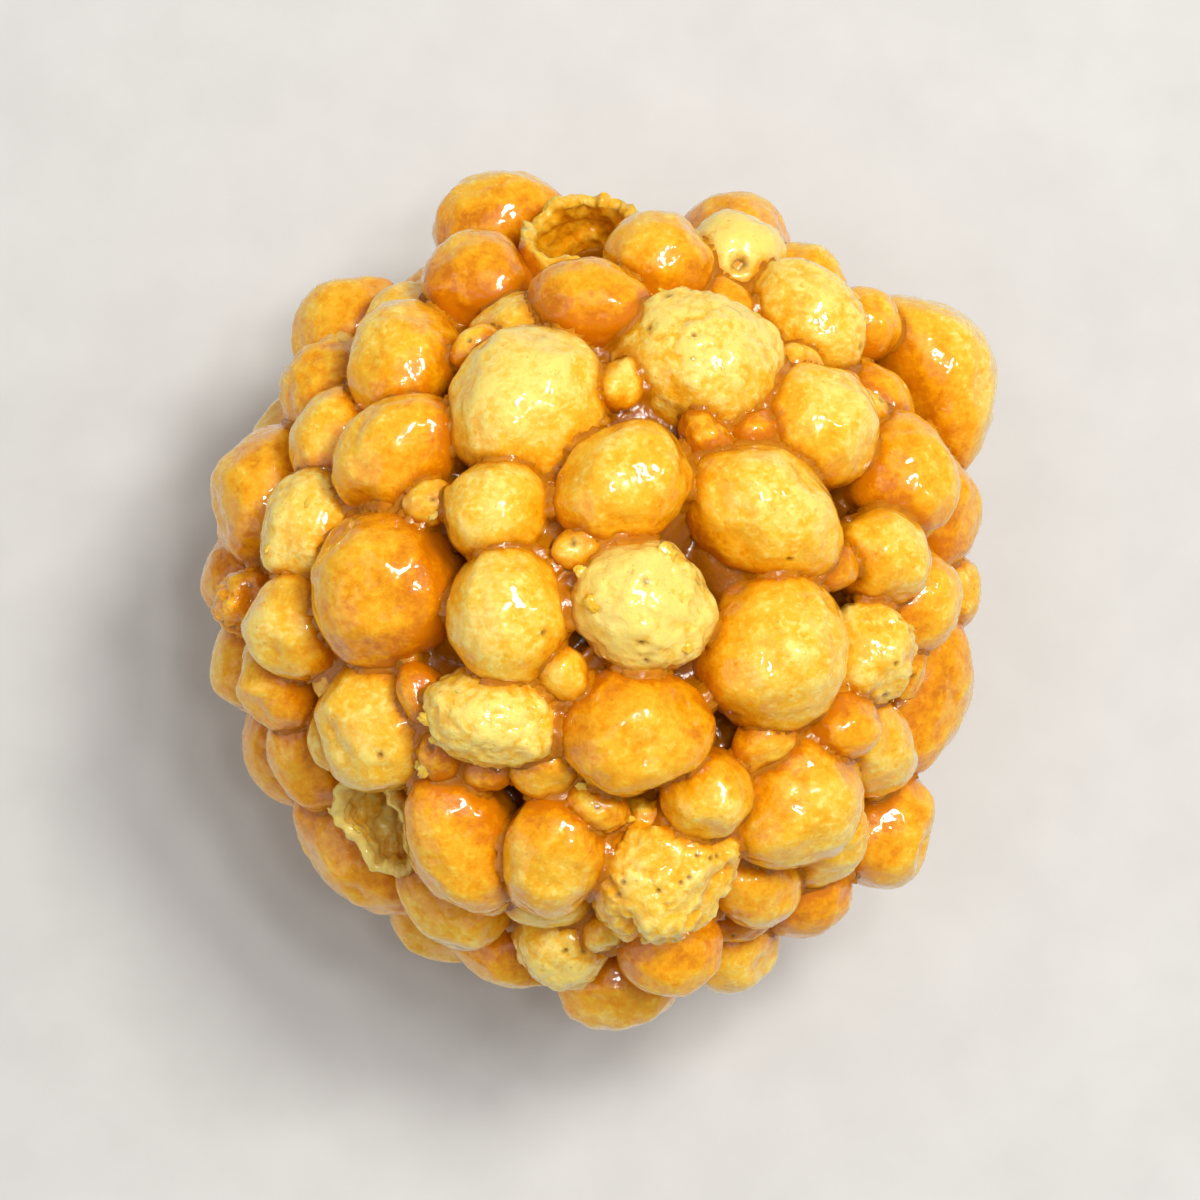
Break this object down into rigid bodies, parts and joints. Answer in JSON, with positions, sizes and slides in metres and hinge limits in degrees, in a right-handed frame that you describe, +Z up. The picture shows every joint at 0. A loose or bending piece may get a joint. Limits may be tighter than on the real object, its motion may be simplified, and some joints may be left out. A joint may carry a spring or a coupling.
{
  "type": "jaggery ladoo",
  "caption": "Round Indian sweet: coarse fried gram-flour drops, stuck together by jaggery syrup into a hand-pressed ball with a small flat spot to rest on.",
  "frame": {"origin": "middle of the bounding box, on the surface that the ladoo rests on", "axes": "+Z up, +Y towards the top of the picture, +X to its right"},
  "size_m": [0.0484, 0.052, 0.0447],
  "materials": {
    "boondi": "golden fried gram flour under a thin, sticky, glossy glaze of jaggery syrup"
  },
  "bodies": {
    "root": {"ladoo": "boondi"}
  },
  "joints": []
}
